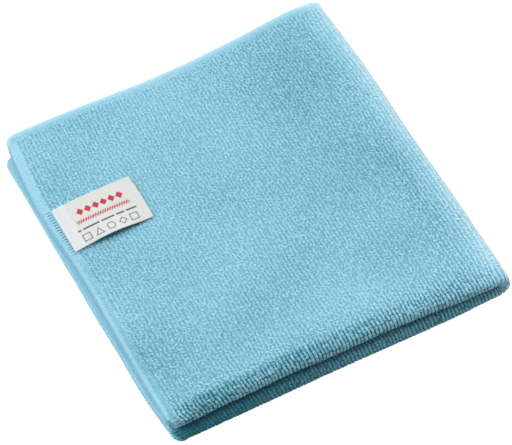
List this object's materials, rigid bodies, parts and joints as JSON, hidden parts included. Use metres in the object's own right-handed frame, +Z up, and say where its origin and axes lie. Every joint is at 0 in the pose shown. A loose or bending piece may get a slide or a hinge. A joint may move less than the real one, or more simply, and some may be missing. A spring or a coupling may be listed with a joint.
{
  "type": "folded microfibre cloth",
  "caption": "Thick terry-knit cleaning cloth folded in quarters, lying flat, with overlocked hems and a small sewn-in label.",
  "frame": {"origin": "middle of the underside's bounding box, on the surface that the cloth lies on", "axes": "+X from the left hem to the right fold, +Y from the front lips to the back hem, +Z up"},
  "size_m": [0.206, 0.2156, 0.0153],
  "materials": {
    "microfibre": "light blue short-loop terry knit, matt, with fine ribs along the cloth",
    "label_tape": "off-white woven label tape, matt, printed with plain shapes and bars"
  },
  "bodies": {
    "root": {"cloth": "microfibre", "label": "label_tape"}
  },
  "joints": []
}
